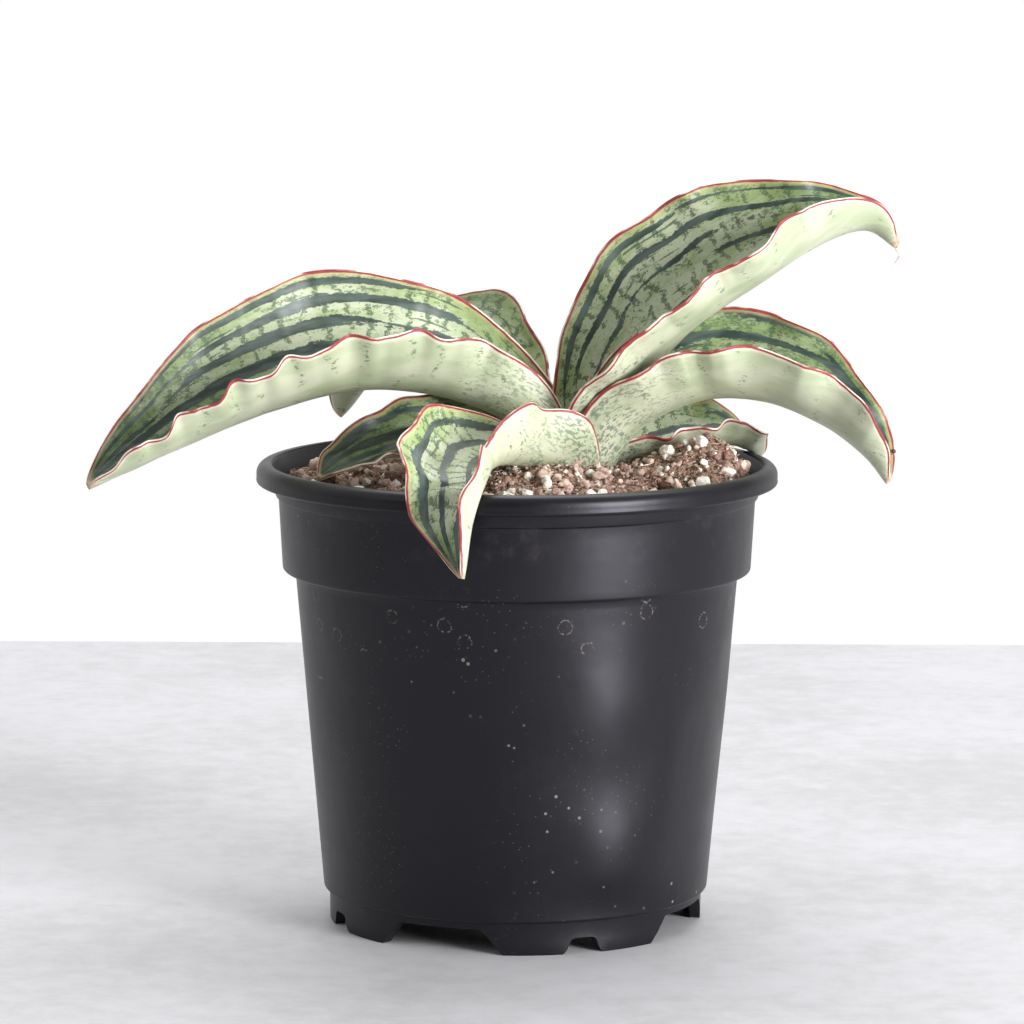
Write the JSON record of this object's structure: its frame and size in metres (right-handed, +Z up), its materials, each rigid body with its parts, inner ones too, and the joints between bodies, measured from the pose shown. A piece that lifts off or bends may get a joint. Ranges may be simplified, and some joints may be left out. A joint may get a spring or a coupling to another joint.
{
  "type": "potted snake plant",
  "caption": "Low rosette of thick, folded, mottled leaves with thin red margins, growing in potting mix in a ribbed-band black nursery pot.",
  "frame": {"origin": "on the ground, under the middle of the plant's and pot's overall box", "axes": "+Z up out of the pot; -Y is the side the drooping front leaf hangs over; +X is the side of the upright leaf"},
  "size_m": [0.247, 0.178, 0.2277],
  "materials": {
    "pot_plastic": "satin",
    "potting_mix": "matte",
    "leaf": "satin",
    "rhizome": "matte",
    "perlite": "matte",
    "bark": "matte",
    "dried_sheath": "matte"
  },
  "bodies": {
    "root": {"pot": "pot_plastic", "dried_sheath_strip": "dried_sheath", "leaf_right_upright": "leaf", "leaf_left_arching": "leaf", "leaf_right_arching": "leaf", "leaf_front_drooping": "leaf", "leaf_back_left": "leaf", "leaf_lower_left": "leaf", "leaf_lower_right": "leaf", "rhizome": "rhizome", "potting_mix": "potting_mix", "perlite_grain_01": "perlite", "perlite_grain_02": "perlite", "perlite_grain_03": "perlite", "perlite_grain_04": "perlite", "perlite_grain_05": "perlite", "perlite_grain_06": "perlite", "perlite_grain_07": "perlite", "perlite_grain_08": "perlite", "perlite_grain_09": "perlite", "perlite_grain_10": "perlite", "perlite_grain_11": "perlite", "perlite_grain_12": "perlite", "perlite_grain_13": "perlite", "perlite_grain_14": "perlite", "perlite_grain_15": "perlite", "perlite_grain_16": "perlite", "bark_chip_1": "bark", "bark_chip_2": "bark", "bark_chip_3": "bark", "bark_chip_4": "bark", "bark_chip_5": "bark"}
  },
  "joints": []
}
